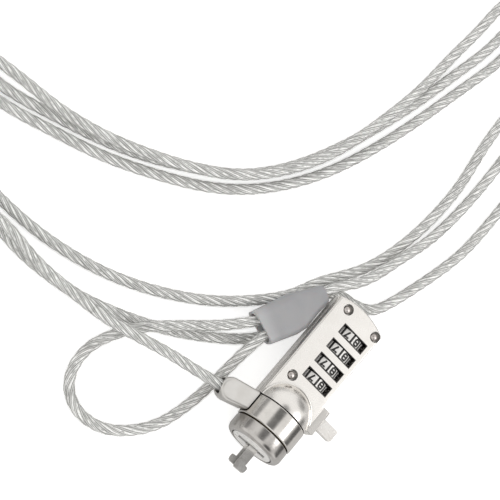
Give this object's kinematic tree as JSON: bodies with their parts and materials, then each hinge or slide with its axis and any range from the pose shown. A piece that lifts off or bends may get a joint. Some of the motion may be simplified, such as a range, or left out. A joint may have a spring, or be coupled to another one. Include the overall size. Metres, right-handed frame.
{
  "type": "laptop cable lock",
  "caption": "Combination cable lock for a laptop: number dials, a side push tab, a swivelling cable ring, a turning T-hook head and a looped steel cable.",
  "frame": {"origin": "on the housing's flat back, under the barrel's axis, at the middle of the lock body's length", "axes": "+Z out of the dial face, -Y out of the hook end along the barrel's axis, +X towards the push tab"},
  "size_m": [0.1804, 0.2313, 0.0211],
  "materials": {
    "nickel": "polished, slightly warm",
    "satin_nickel": "satin plated",
    "steel": "turned steel",
    "spring_steel": "drawn spring wire and strip",
    "brass": "machined",
    "aluminium": "swaged",
    "grey_plastic": "matte moulded",
    "sheathed_rope": "twisted steel wires in a clear sheath"
  },
  "bodies": {
    "lock_body": {"housing": "satin_nickel", "top_cover": "nickel", "rivet_1": "steel", "rivet_2": "steel", "rivet_3": "steel", "barrel_core": "steel", "ring_washer": "brass", "end_bush": "brass", "detent_plate": "spring_steel", "sleeve_spring": "spring_steel", "tab_spring": "spring_steel", "cable_lead": "sheathed_rope", "lock_cable": "sheathed_rope", "loop_sleeve": "grey_plastic", "loop_crimp": "aluminium"},
    "ring": {"swivel_ring": "nickel", "cable_boss": "nickel", "cable_crimp": "aluminium"},
    "head": {"knob": "nickel", "front_disc": "satin_nickel", "hook_pivot": "steel"},
    "cam": {"cam_slider": "steel"},
    "left_hook": {"hook_left": "nickel"},
    "right_hook": {"hook_right": "nickel"},
    "tab": {"push_tab": "nickel"},
    "plunger": {"spindle": "steel", "drive_yoke": "steel", "yoke_pin": "steel"},
    "dial_1": {"dial_wheel_1": "satin_nickel", "code_sleeve_1": "brass"},
    "dial_2": {"dial_wheel_2": "satin_nickel", "code_sleeve_2": "brass"},
    "dial_3": {"dial_wheel_3": "satin_nickel", "code_sleeve_3": "brass"},
    "dial_4": {"dial_wheel_4": "satin_nickel", "code_sleeve_4": "brass"}
  },
  "joints": [
    {"name": "ring_swivel", "type": "hinge", "parent": "lock_body", "child": "ring", "pos_m": [0, -0.025, 0.0107], "axis": [0, 1, 0], "range_deg": [-4, 45], "deforming": ["cable_lead"]},
    {"name": "head_swivel", "type": "hinge", "parent": "lock_body", "child": "head", "pos_m": [0, -0.032, 0.0107], "axis": [0, 1, 0], "continuous": true},
    {"name": "tab_push", "type": "slide", "parent": "lock_body", "child": "tab", "axis": [-1, 0, 0], "range_m": [0, 0.0028], "stiffness_N_per_m": 200, "springref_m": -0.003, "deforming": ["tab_spring"]},
    {"name": "plunger_slide", "type": "slide", "parent": "lock_body", "child": "plunger", "axis": [0, -1, 0], "range_m": [0, 0.0028]},
    {"name": "cam_slide", "type": "slide", "parent": "head", "child": "cam", "axis": [0, -1, 0], "range_m": [0, 0.0028]},
    {"name": "hook_left_spread", "type": "hinge", "parent": "head", "child": "left_hook", "pos_m": [0, -0.031, 0.0107], "axis": [0.2924, 0, -0.9563], "range_deg": [0, 5.8]},
    {"name": "hook_right_spread", "type": "hinge", "parent": "head", "child": "right_hook", "pos_m": [0, -0.031, 0.0107], "axis": [-0.2924, 0, 0.9563], "range_deg": [0, 5.8]},
    {"name": "dial_1_turn", "type": "hinge", "parent": "lock_body", "child": "dial_1", "pos_m": [0.0019, -0.00545, 0.00745], "axis": [0, 1, 0], "continuous": true},
    {"name": "dial_2_turn", "type": "hinge", "parent": "lock_body", "child": "dial_2", "pos_m": [0.0019, 0.00074, 0.00745], "axis": [0, 1, 0], "continuous": true},
    {"name": "dial_3_turn", "type": "hinge", "parent": "lock_body", "child": "dial_3", "pos_m": [0.0019, 0.00693, 0.00745], "axis": [0, 1, 0], "continuous": true},
    {"name": "dial_4_turn", "type": "hinge", "parent": "lock_body", "child": "dial_4", "pos_m": [0.0019, 0.01313, 0.00745], "axis": [0, 1, 0], "continuous": true}
  ],
  "couplings": [
    {"joint": "plunger_slide", "follows": "tab_push", "ratio": 1},
    {"joint": "cam_slide", "follows": "tab_push", "ratio": 1},
    {"joint": "hook_left_spread", "follows": "tab_push", "rad_per_m": 35.7},
    {"joint": "hook_right_spread", "follows": "tab_push", "rad_per_m": 35.7}
  ]
}
